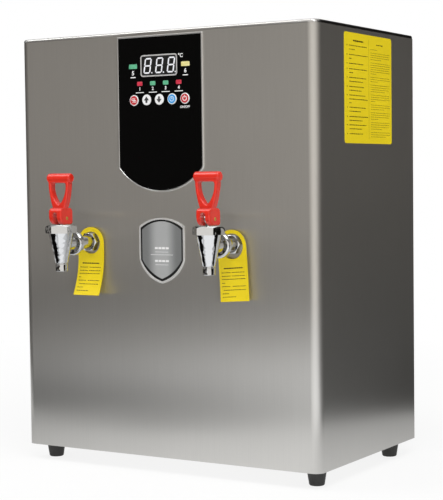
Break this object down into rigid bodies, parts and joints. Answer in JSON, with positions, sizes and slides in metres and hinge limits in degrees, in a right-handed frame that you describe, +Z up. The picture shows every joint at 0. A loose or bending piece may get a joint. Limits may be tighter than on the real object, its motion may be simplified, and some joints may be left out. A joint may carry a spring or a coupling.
{
  "type": "hot water urn",
  "caption": "Counter-top hot water urn: a tall stainless box on four feet, with a keypad and display in front and two self-lifting lever taps with hanging tags.",
  "frame": {"origin": "on the plane the feet stand on, under the middle of the whole object from tap nuts to pipe ends", "axes": "+Z up, -Y towards the user (panel and taps), +X to the user's right"},
  "size_m": [0.45, 0.3923, 0.569],
  "materials": {
    "casing_steel": "satin",
    "tank_steel": "satin",
    "inner_steel": "satin",
    "screw_steel": "gloss",
    "foot_rubber": "matte",
    "trim_aluminium": "satin",
    "overlay_black": "gloss",
    "bezel_white": "gloss",
    "module_black": "gloss",
    "segment_white": "gloss",
    "lens_green": "gloss",
    "lens_red": "gloss",
    "lens_yellow": "gloss",
    "key_red": "gloss",
    "key_white": "gloss",
    "key_blue": "gloss",
    "board_green": "satin",
    "tap_chrome": "gloss",
    "stem_steel": "gloss",
    "brass": "satin",
    "silicone": "matte",
    "lever_red": "gloss",
    "tag_yellow": "satin",
    "shield_metal": "satin",
    "foam": "matte",
    "heater_steel": "satin",
    "fitting_plastic": "satin",
    "gland_black": "satin"
  },
  "bodies": {
    "cabinet": {"cabinet_wrap": "casing_steel", "top_cover": "casing_steel", "back_panel": "casing_steel", "base_pan": "casing_steel", "feet": "foot_rubber", "case_screws": "screw_steel", "tank_shelf": "inner_steel", "panel_trim": "trim_aluminium", "panel_overlay": "overlay_black", "display_bezel": "bezel_white", "display_module": "module_black", "display_segments": "segment_white", "lamps_green": "lens_green", "lamps_red": "lens_red", "lamp_yellow": "lens_yellow", "control_board": "board_green", "board_spacers": "brass", "shield_plate": "shield_metal", "tap_left_body": "tap_chrome", "tap_left_bonnet_nut": "tap_chrome", "tap_left_spring": "stem_steel", "tap_left_wall_nut": "tap_chrome", "tap_left_washers": "silicone", "tap_left_lock_nuts": "brass", "tap_right_body": "tap_chrome", "tap_right_bonnet_nut": "tap_chrome", "tap_right_spring": "stem_steel", "tap_right_wall_nut": "tap_chrome", "tap_right_washers": "silicone", "tap_right_lock_nuts": "brass", "tank_shell": "tank_steel", "tank_lid": "tank_steel", "tank_insulation": "foam", "heater": "heater_steel", "level_probes": "fitting_plastic", "temperature_sensor": "brass", "overheat_cutout": "gland_black", "inlet_valve": "fitting_plastic", "inlet_pipe": "tank_steel", "overflow_pipe": "tank_steel", "drain_pipe": "tank_steel", "drain_cap": "brass", "terminal_block": "fitting_plastic", "cable_gland": "gland_black"},
    "key_heat": {"key_heat": "key_red"},
    "key_up": {"key_up": "key_white"},
    "key_down": {"key_down": "key_white"},
    "key_set": {"key_set": "key_blue"},
    "key_power": {"key_power": "key_red"},
    "tap_left_stem": {"tap_left_stem": "stem_steel", "tap_left_seat_cup": "silicone"},
    "tap_left_lever": {"tap_left_lever": "lever_red", "tap_left_lever_pin": "brass"},
    "tap_left_tag": {"tap_left_tag": "tag_yellow"},
    "tap_right_stem": {"tap_right_stem": "stem_steel", "tap_right_seat_cup": "silicone"},
    "tap_right_lever": {"tap_right_lever": "lever_red", "tap_right_lever_pin": "brass"},
    "tap_right_tag": {"tap_right_tag": "tag_yellow"}
  },
  "joints": [
    {"name": "key_heat_press", "type": "slide", "parent": "cabinet", "child": "key_heat", "axis": [0, 1, 0], "range_m": [0, 0.0005], "stiffness_N_per_m": 1500},
    {"name": "key_up_press", "type": "slide", "parent": "cabinet", "child": "key_up", "axis": [0, 1, 0], "range_m": [0, 0.0005], "stiffness_N_per_m": 1500},
    {"name": "key_down_press", "type": "slide", "parent": "cabinet", "child": "key_down", "axis": [0, 1, 0], "range_m": [0, 0.0005], "stiffness_N_per_m": 1500},
    {"name": "key_set_press", "type": "slide", "parent": "cabinet", "child": "key_set", "axis": [0, 1, 0], "range_m": [0, 0.0005], "stiffness_N_per_m": 1500},
    {"name": "key_power_press", "type": "slide", "parent": "cabinet", "child": "key_power", "axis": [0, 1, 0], "range_m": [0, 0.0005], "stiffness_N_per_m": 1500},
    {"name": "tap_left_stem_lift", "type": "slide", "parent": "cabinet", "child": "tap_left_stem", "axis": [0, 0, 1], "range_m": [0, 0.005], "deforming": ["tap_left_spring"]},
    {"name": "tap_left_lever_turn", "type": "hinge", "parent": "tap_left_stem", "child": "tap_left_lever", "pos_m": [-0.109, -0.176, 0.3312], "axis": [1, 0, 0], "range_deg": [0, 90]},
    {"name": "tap_left_tag_swing", "type": "hinge", "parent": "cabinet", "child": "tap_left_tag", "pos_m": [-0.109, -0.1125, 0.2985], "axis": [0, 1, 0], "range_deg": [-30, 30]},
    {"name": "tap_right_stem_lift", "type": "slide", "parent": "cabinet", "child": "tap_right_stem", "axis": [0, 0, 1], "range_m": [0, 0.005], "deforming": ["tap_right_spring"]},
    {"name": "tap_right_lever_turn", "type": "hinge", "parent": "tap_right_stem", "child": "tap_right_lever", "pos_m": [0.109, -0.17, 0.3312], "axis": [1, 0, 0], "range_deg": [0, 90]},
    {"name": "tap_right_tag_swing", "type": "hinge", "parent": "cabinet", "child": "tap_right_tag", "pos_m": [0.109, -0.1165, 0.2985], "axis": [0, 1, 0], "range_deg": [-26, 34]}
  ],
  "couplings": [
    {"joint": "tap_left_lever_turn", "follows": "tap_left_stem_lift", "rad_per_m": 314.16},
    {"joint": "tap_right_lever_turn", "follows": "tap_right_stem_lift", "rad_per_m": 314.16}
  ]
}
